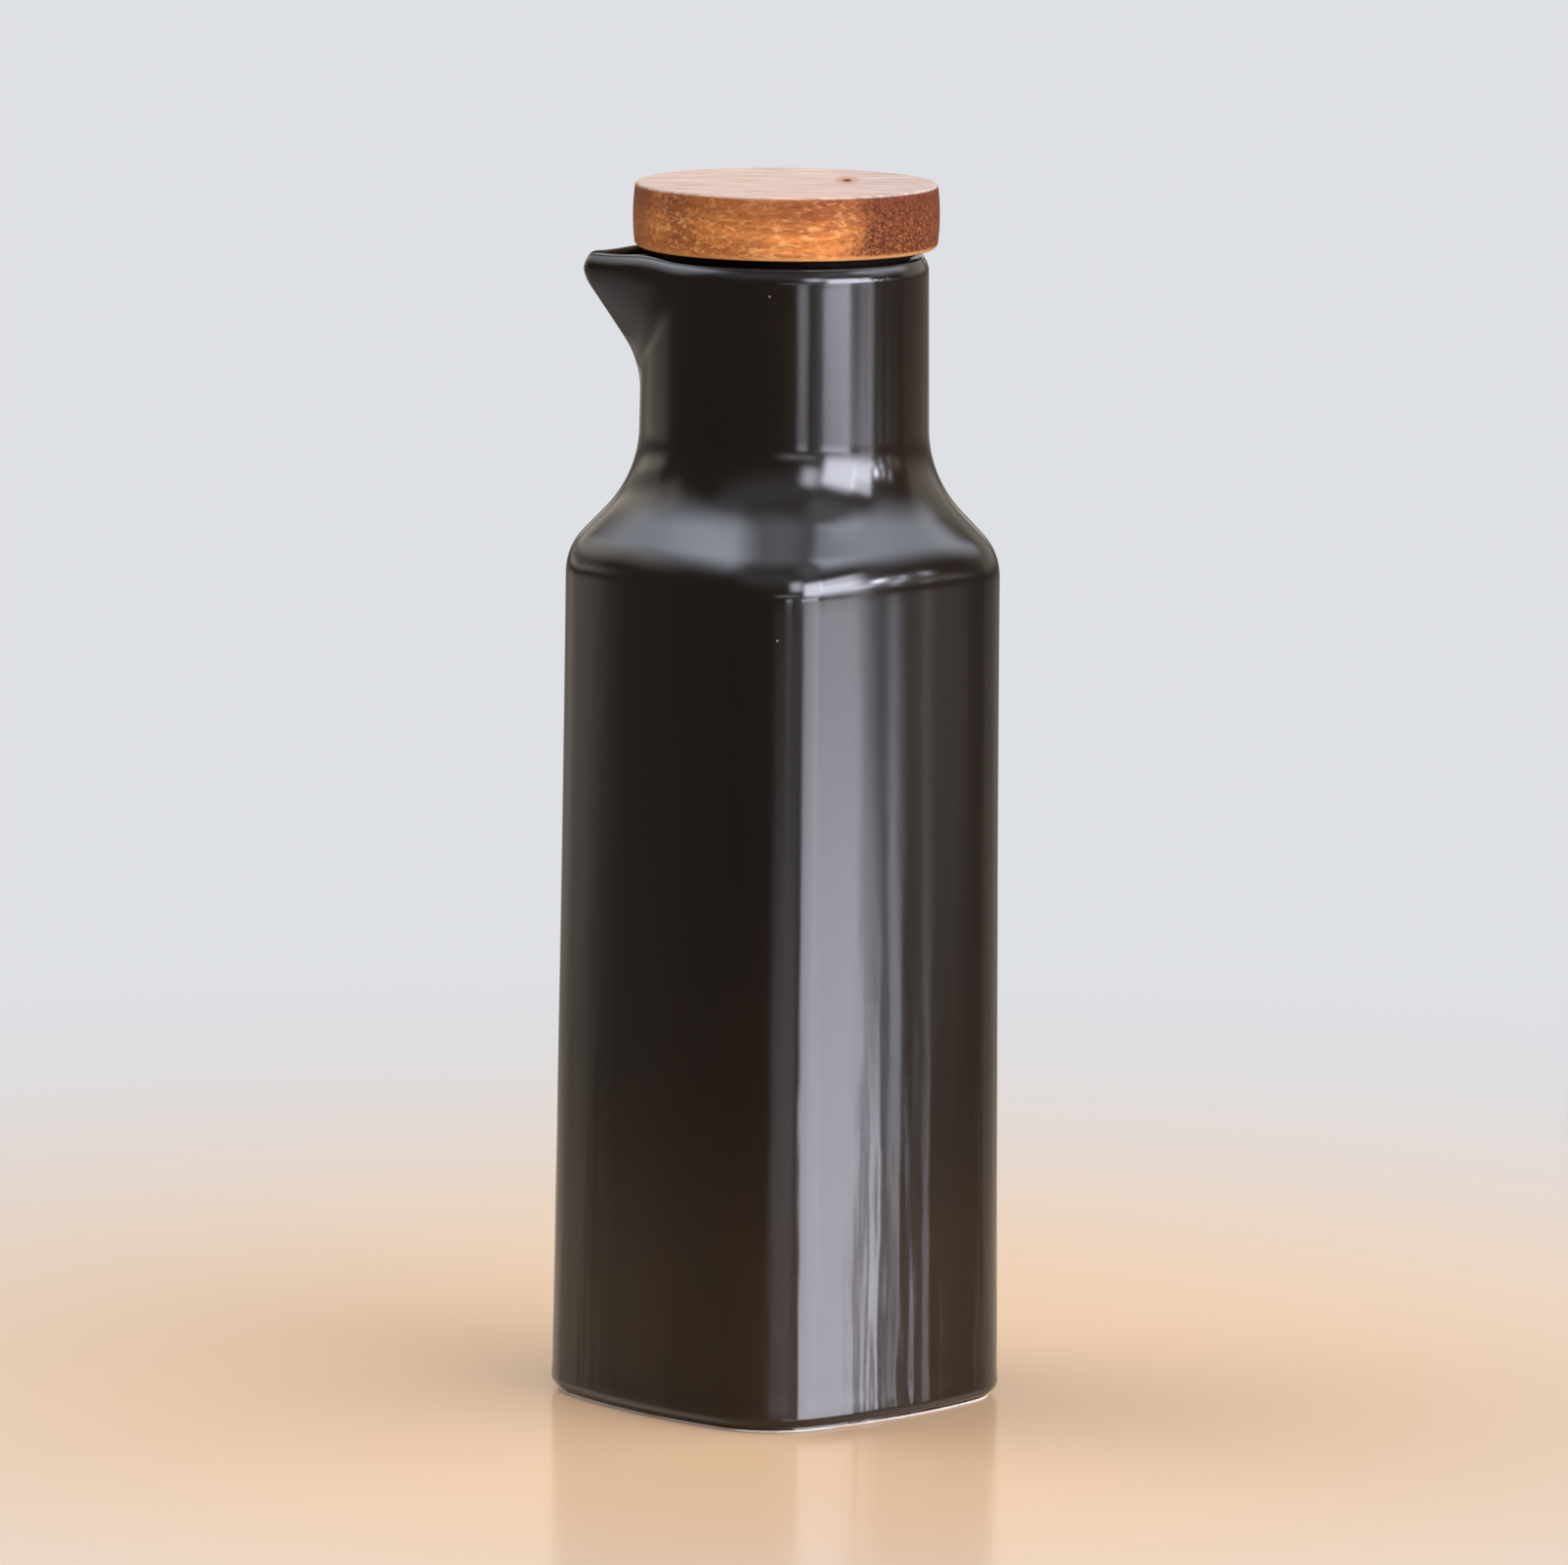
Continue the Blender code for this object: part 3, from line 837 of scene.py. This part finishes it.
@dataclass
class Bottle:
    """The hollow ceramic bottle with its foot, lip and spout."""

    form: BottleForm
    glaze: SatinGlaze
    clay: BareClay
    runs: GlazeRuns
    quarter_steps: int = 96
    corner_crowding: float = 0.35
    spout_crowding: float = 0.70
    lip_drop: float = 0.0030
    lip_lean: float = 0.0008
    lip_lean_power: float = 2.2
    lip_crest: float = 0.0004
    bare_height: float = 0.00035

    def angles(self) -> list[float]:
        """Directions round the axis, crowded at the corners and most of all at the spout.

        Returns:
            The angles from +X, rising.
        """
        found = []
        for quarter in range(4):
            corner = self.form.spout_angle + quarter * QUARTER_TURN
            crowding = self.corner_crowding if quarter else self.spout_crowding
            for part in spaced(-1.0, 1.0, self.quarter_steps)[:-1]:
                turn = QUARTER_TURN / 2.0 * (part * (1.0 - crowding) + crowding * part ** 3)
                found.append((corner + turn) % (2.0 * math.pi))
        return sorted(found)

    def glazed(self, angle: float, radius: float, z: float) -> float:
        """The outline's radius less the waves of the glaze."""
        return radius - self.runs.set_in(angle, radius, z)

    def foot(self, loft: Loft) -> None:
        """Hollow, bare foot ring and the glaze's rounded lower edge.

        Args:
            loft: the skin, not yet started.
        """
        form = self.form
        base = form.section(0.0)
        hollow = form.foot_inset + form.foot_ring
        loft.start(base.inset(hollow + form.foot_hollow / 2.0).reach, form.foot_hollow, Skin.CLAY)
        for inset, z in ((hollow, 0.0), (form.foot_inset, 0.0), (form.foot_inset, self.bare_height)):
            loft.grow(base.inset(inset).reach, z, Skin.CLAY)
        loft.grow(base.inset(form.foot_inset).reach, form.foot_height)
        first = math.asin(1.0 - form.foot_inset / form.lower_edge)
        for turn in spaced(first, QUARTER_TURN, 10)[1:]:
            z = form.foot_height + form.lower_edge * (1.0 - math.cos(turn))
            loft.grow(base.inset(form.lower_edge * (1.0 - math.sin(turn))).reach, z)

    def outside(self, loft: Loft) -> None:
        """Body, shoulder, neck and spout up to the lip.

        Args:
            loft: the skin, grown as far as the top of the foot.
        """
        form = self.form
        shoulder = form.shoulder(edge_steps=14, slope_steps=8, sweep_steps=20)
        levels = spaced(form.foot_height + form.lower_edge, shoulder[0][1], 60)[1:-1]
        for share, z in [(0.0, level) for level in levels] + shoulder:
            section = form.section(z)
            loft.grow(
                lambda angle: self.glazed(
                    angle, section.reach(angle) * (1.0 - share) + form.neck * share, z), z)
        for z in spaced(form.neck_bottom(), form.rim_z - self.lip_drop, 40)[1:]:
            loft.grow(
                lambda angle: self.glazed(angle, form.outside(angle, z), z),
                lambda angle: form.lifted(angle, z))

    def lip_profile(self) -> list[tuple[float, float]]:
        """Way up the outside of the lip and over its tight crest.

        Returns:
            Inset and rise of each point.
        """
        height = self.lip_drop - self.lip_crest
        leaning = [(self.lip_lean * part ** self.lip_lean_power, height * part)
                   for part in spaced(0.0, 1.0, 12)[1:]]
        crest = [(self.lip_lean + self.lip_crest * (1.0 - math.cos(turn)),
                  height + self.lip_crest * math.sin(turn))
                 for turn in spaced(0.0, QUARTER_TURN, 6)[1:]]
        return leaning + crest

    def lip(self, loft: Loft) -> None:
        """Over the lip: leaning in outside, round a tight crest and down a round inner edge.

        Args:
            loft: the skin, grown as far as the top of the neck.
        """
        form = self.form
        lip_z = form.rim_z - self.lip_drop
        middle_z = form.lip_base()
        for inset, rise in self.lip_profile():
            z = min(lip_z + rise, middle_z)
            loft.grow(
                lambda angle: form.outside(angle, z) - inset,
                lambda angle: form.lifted(angle, lip_z) + rise)
        for turn in spaced(0.0, QUARTER_TURN, 10)[1:-1]:
            rise = form.lip / 2.0 * math.cos(turn)
            inward = (1.0 + math.sin(turn)) / 2.0
            loft.grow(
                lambda angle: form.outside(angle, middle_z) * (1.0 - inward)
                + form.inside(angle, middle_z) * inward,
                lambda angle: form.lifted(angle, middle_z) + rise)

    def inside(self, loft: Loft) -> None:
        """Channel, neck and shoulder from the lip down to the inner floor.

        Args:
            loft: the skin, grown over the lip.
        """
        form = self.form
        for z in spaced(form.lip_base(), form.spout_root_z, 20):
            loft.grow(lambda angle: form.inside(angle, z), lambda angle: form.lifted(angle, z))
        shoulder = form.shoulder(edge_steps=6, slope_steps=3, sweep_steps=10)
        for share, z in reversed(shoulder):
            section = form.section(z).inset(form.wall)
            loft.grow(
                lambda angle: section.reach(angle) * (1.0 - share) + (form.neck - form.wall) * share,
                z - form.inner_shoulder_drop)
        floor_z = form.foot_hollow + form.floor
        top_z = shoulder[0][1] - form.inner_shoulder_drop
        for z in spaced(top_z, floor_z + form.inner_floor_radius, 6)[1:-1]:
            loft.grow(form.section(z).inset(form.wall).reach, z)
        for turn in spaced(0.0, QUARTER_TURN, 5):
            inset = form.wall + form.inner_floor_radius * (1.0 - math.cos(turn))
            z = floor_z + form.inner_floor_radius * (1.0 - math.sin(turn))
            loft.grow(form.section(z).inset(inset).reach, z)

    def build(self) -> bpy.types.Object:
        """Model the bottle as one closed shell.

        Returns:
            The bottle's object.
        """
        loft = Loft(self.angles())
        for part in (self.foot, self.outside, self.lip, self.inside):
            part(loft)
        loft.close()
        return finished("bottle_shell", loft.mesh, [self.glaze.material(self.form), self.clay.material()])


@dataclass
class Lid:
    """The turned wooden lid."""

    form: BottleForm
    wood: OiledWood
    top_z: float = 0.2207
    thickness: float = 0.0115
    radius: float = 0.02756
    barrel: float = 0.0004
    top_chamfer: float = 0.0004
    lower_round: float = 0.0012
    step_radius: float = 0.0234
    plug_length: float = 0.0075
    plug_chamfer: float = 0.0008
    plug_play: float = 0.0004
    gap: float = 0.0003
    steps: int = 192
    weld: float = 0.00001

    def side(self, z: float) -> float:
        """Radius of the barrelled side at a height."""
        middle = self.top_z - self.thickness / 2.0
        return self.radius - self.barrel * ((z - middle) / (self.thickness / 2.0)) ** 2

    def outline(self) -> list[tuple[float, float]]:
        """The turned outline, from the middle of the top to the middle of the plug.

        Returns:
            Radius and height of each point.
        """
        lower_z = self.top_z - self.thickness
        step_z = self.form.rim_z + self.gap
        plug = self.form.rim - self.form.lip - self.plug_play
        plug_z = step_z - self.plug_length
        side_top = self.top_z - self.top_chamfer
        side_low = lower_z + self.lower_round
        points = [(0.0, self.top_z), (self.side(side_top) - self.top_chamfer, self.top_z)]
        points += [(self.side(z), z) for z in spaced(side_top, side_low, 12)]
        for turn in spaced(0.0, QUARTER_TURN, 8)[1:]:
            radius = self.side(side_low) - self.lower_round * (1.0 - math.cos(turn))
            points.append((radius, side_low - self.lower_round * math.sin(turn)))
        points += [(self.step_radius, lower_z), (self.step_radius, step_z), (plug, step_z)]
        points += [(plug, plug_z + self.plug_chamfer), (plug - self.plug_chamfer, plug_z), (0.0, plug_z)]
        return points

    def build(self) -> bpy.types.Object:
        """Turn the lid's outline about the axis.

        Returns:
            The lid's object.
        """
        mesh = bmesh.new()
        verts = [mesh.verts.new((radius, 0.0, z)) for radius, z in self.outline()]
        for start, end in zip(verts[:-1], verts[1:]):
            mesh.edges.new((start, end))
        bmesh.ops.spin(
            mesh, geom=mesh.verts[:] + mesh.edges[:], cent=(0.0, 0.0, 0.0), axis=(0.0, 0.0, 1.0),
            angle=2.0 * math.pi, steps=self.steps, use_merge=True)
        bmesh.ops.remove_doubles(mesh, verts=mesh.verts, dist=self.weld)
        bmesh.ops.recalc_face_normals(mesh, faces=mesh.faces)
        wood = self.wood.material(self.top_z, self.top_z - self.thickness)
        return finished("lid_wood", mesh, [wood])


def finished(name: str, shape: bmesh.types.BMesh, materials: list[bpy.types.Material]) -> bpy.types.Object:
    """Turn a modelled shape into a smooth shaded object.

    Args:
        name: the piece's name.
        shape: the shape, which is used up.
        materials: its material slots in order.

    Returns:
        The new object, at the origin.
    """
    mesh = bpy.data.meshes.new(name)
    shape.to_mesh(mesh)
    shape.free()
    mesh.shade_smooth()
    mesh.set_sharp_from_angle(angle=SHARP_FROM)
    for material in materials:
        mesh.materials.append(material)
    piece = bpy.data.objects.new(name, mesh)
    bpy.context.scene.collection.objects.link(piece)
    return piece


@dataclass(frozen=True)
class SoftBox:
    """A soft light panel that faces the object.

    Directions are degrees seen from the object: azimuth 0 is towards the camera and 90 to its
    right, elevation 90 is overhead.
    """

    name: str
    azimuths: tuple[float, float]
    elevations: tuple[float, float]
    radiance: float
    soft: tuple[float, float] = (0.1, 0.1)
    colour: Colour = DAYLIGHT
    distance: float = 3.0
    centre_z: float = 0.11
    tilt: float = 0.0

    def diffuse_edges(self, light: bpy.types.AreaLight) -> None:
        """Let the panel's light fade out towards its edges.

        Args:
            light: the panel's light.
        """
        light.use_nodes = True
        nodes = Nodes(light.node_tree)
        across = nodes.add("ShaderNodeNewGeometry").outputs["Parametric"]
        sides = nodes.add("ShaderNodeSeparateXYZ", {0: across}).outputs
        fades = [nodes.ramp(nodes.math("PINGPONG", sides[axis], 0.5), 0.0, soft)
                 for axis, soft in zip("XY", self.soft)]
        strength = nodes.math("MULTIPLY", *fades)
        nodes.feed(nodes.tree.nodes["Emission"].inputs["Strength"], strength)

    def build(self, camera_azimuth: float) -> bpy.types.Object:
        """Hang the panel.

        Args:
            camera_azimuth: direction of the camera round the axis, from +X.

        Returns:
            The light's object.
        """
        azimuth = math.radians(sum(self.azimuths) / 2.0) + camera_azimuth
        elevation = math.radians(sum(self.elevations) / 2.0)
        wide = math.radians(self.azimuths[1] - self.azimuths[0]) * math.cos(elevation)
        high = math.radians(self.elevations[1] - self.elevations[0])
        light = bpy.data.lights.new(self.name, "AREA")
        light.shape = "RECTANGLE"
        light.size = 2.0 * self.distance * math.tan(wide / 2.0)
        light.size_y = 2.0 * self.distance * math.tan(high / 2.0)
        light.energy = self.radiance * math.pi * light.size * light.size_y
        light.color = self.colour
        self.diffuse_edges(light)
        upwards = Vector((math.cos(elevation), 0.0, math.sin(elevation)))
        towards = Matrix.Rotation(azimuth, 3, "Z") @ upwards
        place = Matrix.Translation(towards * self.distance + Vector((0.0, 0.0, self.centre_z)))
        turn = towards.to_track_quat("Z", "Y").to_matrix().to_4x4()
        panel = bpy.data.objects.new(self.name, light)
        panel.matrix_world = place @ turn @ Matrix.Rotation(math.radians(self.tilt), 4, "Z")
        panel.visible_camera = False
        bpy.context.scene.collection.objects.link(panel)
        return panel


@dataclass
class Studio:
    """Pale floor, soft lights and a camera at the photograph's viewpoint."""

    distance: float = 2.2023
    height: float = 0.4439
    azimuth: float = math.radians(-43.2)
    aim_right: float = 0.00063
    aim_z: float = 0.11182
    roll: float = math.radians(0.597)
    lens: float = 282.87
    sensor: float = 36.0
    sight: float = 100.0
    floor_reach: float = 30.0
    room: Colour = (1.0, 0.86, 0.74)
    room_strength: float = 0.21
    surface: PaleFloor = PaleFloor()
    boxes: tuple[SoftBox, ...] = (
        SoftBox("neck_window", (29.0, 54.5), (-3.6, 0.9), 11.5, (0.12, 0.45)),
        SoftBox("neck_window_far", (60.5, 69.5), (-2.5, 2.5), 2.2, (0.3, 0.25)),
        SoftBox("neck_window_right", (68.0, 76.5), (-2.9, 2.1), 3.4, (0.25, 0.35)),
        SoftBox("neck_window_left", (8.5, 20.0), (-3.2, 1.2), 6.6, (0.32, 0.45)),
        SoftBox("neck_window_gap", (21.0, 33.0), (-2.0, 2.0), 1.2, (0.3, 0.2)),
        SoftBox("body_front", (-10.0, 34.0), (2.4, 10.0), 1.6, (0.3, 0.4)),
        SoftBox("window_left", (11.0, 37.0), (9.0, 34.0), 9.5, (0.45, 0.4)),
        SoftBox("window_middle", (31.0, 61.0), (-1.5, 27.5), 17.5, (0.2, 0.32), tilt=-6.0),
        SoftBox("window_right", (56.0, 74.2), (-1.5, 16.0), 17.0, (0.12, 0.5)),
        SoftBox("slit_near", (80.0, 82.6), (1.0, 4.6), 9.0, (0.35, 0.3), tilt=-10.0),
        SoftBox("slit_low", (75.6, 79.2), (6.2, 10.4), 44.0, (0.3, 0.2), tilt=-20.0),
        SoftBox("slit_far", (89.2, 92.2), (5.6, 11.0), 10.0, (0.35, 0.3), tilt=8.0),
        SoftBox("left_overhead", (-156.0, -52.0), (13.0, 84.0), 6.2, (0.42, 0.5), SKY),
        SoftBox("left_low", (-165.0, -80.0), (9.0, 30.0), 0.9, (0.25, 0.35), WARM),
        SoftBox("right_overhead", (64.0, 138.0), (14.0, 72.0), 5.2, (0.25, 0.5), SKY),
        SoftBox("right_shoulder", (58.0, 84.0), (24.0, 70.0), 2.4, (0.4, 0.4), SKY),
        SoftBox("high_right", (20.0, 84.0), (20.0, 66.0), 1.3, (0.4, 0.5), SKY),
        SoftBox("overhead", (-180.0, 180.0), (50.0, 104.0), 2.0, (0.5, 0.5), SKY),
        SoftBox("front_left", (-96.0, -40.0), (20.0, 68.0), 1.0, (0.5, 0.5), SKY),
        SoftBox("front", (-75.0, 45.0), (12.0, 68.0), 0.55, (0.35, 0.5), SKY),
        SoftBox("back_left", (-160.0, -104.0), (-2.0, 24.0), 0.4, (0.2, 0.3), WARM),
        SoftBox("back_right", (104.0, 160.0), (-2.0, 34.0), 0.6, (0.2, 0.3), WARM),
        SoftBox("back", (156.0, 204.0), (0.0, 24.0), 0.7, (0.15, 0.3), WARM, distance=4.0),
        SoftBox("right_wall", (82.0, 106.0), (0.0, 6.5), 0.9, (0.3, 0.4), WARM),
        SoftBox("sill_near", (71.4, 77.2), (3.0, 6.6), 12.0, (0.3, 0.25)),
        SoftBox("slit_far_low", (89.0, 92.0), (0.8, 3.2), 4.0, (0.35, 0.35)),
        SoftBox("front_bar", (-4.0, 32.0), (4.8, 6.8), 2.6, (0.3, 0.4), tilt=-3.0),
        SoftBox("slit_tip", (83.0, 85.0), (6.8, 10.0), 24.0, (0.35, 0.3)),
        SoftBox("left_sill", (-150.0, -98.0), (-1.0, 6.5), 0.7, (0.3, 0.4), WARM),
        SoftBox("slit_bar", (80.2, 84.8), (4.6, 6.1), 26.0, (0.2, 0.35), tilt=23.0),
        SoftBox("window_right_high", (56.0, 74.2), (8.0, 23.0), 12.0, (0.12, 0.32)),
    )

    def camera(self) -> bpy.types.Object:
        """Place the camera and make it the scene's own.

        Returns:
            The camera's object.
        """
        data = bpy.data.cameras.new("camera")
        data.lens = self.lens
        data.sensor_width = self.sensor
        data.clip_end = self.sight
        around = Matrix.Rotation(self.azimuth, 3, "Z")
        place = around @ Vector((self.distance, 0.0, self.height))
        aim = around @ Vector((0.0, self.aim_right, self.aim_z))
        level = (aim - place).to_track_quat("-Z", "Y").to_matrix()
        turn = level @ Matrix.Rotation(self.roll, 3, "Z")
        camera = bpy.data.objects.new("camera", data)
        camera.matrix_world = Matrix.Translation(place) @ turn.to_4x4()
        bpy.context.scene.collection.objects.link(camera)
        bpy.context.scene.camera = camera
        return camera

    def floor(self) -> bpy.types.Object:
        """Lay the plain pale floor.

        Returns:
            The floor's object.
        """
        mesh = bmesh.new()
        bmesh.ops.create_grid(mesh, x_segments=1, y_segments=1, size=self.floor_reach)
        floor = finished("floor", mesh, [self.surface.material()])
        return floor

    def surroundings(self) -> None:
        """Dim room light on the object, and a pale backdrop for the camera alone."""
        world = bpy.data.worlds.new("studio")
        bpy.context.scene.world = world
        world.use_nodes = True
        nodes = Nodes(world.node_tree)
        room = nodes.tree.nodes["Background"]
        room.inputs["Color"].default_value = (*self.room, 1.0)
        room.inputs["Strength"].default_value = self.room_strength
        backdrop = nodes.add("ShaderNodeBackground", {"Color": (*HAZE, 1.0)}).outputs[0]
        seen = nodes.add("ShaderNodeLightPath").outputs["Is Camera Ray"]
        surface = nodes.mix(seen, room.outputs[0], backdrop)
        nodes.feed(nodes.tree.nodes["World Output"].inputs["Surface"], surface)

    def build(self) -> None:
        """Set up the whole studio."""
        bpy.context.scene.view_settings.view_transform = "Standard"
        self.surroundings()
        self.floor()
        for box in self.boxes:
            box.build(self.azimuth)
        self.camera()


def main() -> None:
    """Build every piece in order and report it."""
    logging.basicConfig(level=logging.INFO, format="%(message)s")
    form = BottleForm()
    bottle = Bottle(form, SatinGlaze(), BareClay(), GlazeRuns()).build()
    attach(bottle, BODY)
    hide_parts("bottle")
    lid = Lid(form, OiledWood()).build()
    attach(lid, BODY)
    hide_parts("lid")
    for piece in (bottle, lid):
        LOG.info("%s: %d faces", piece.name, len(piece.data.polygons))
    Studio().build()


if __name__ == "__main__":
    main()
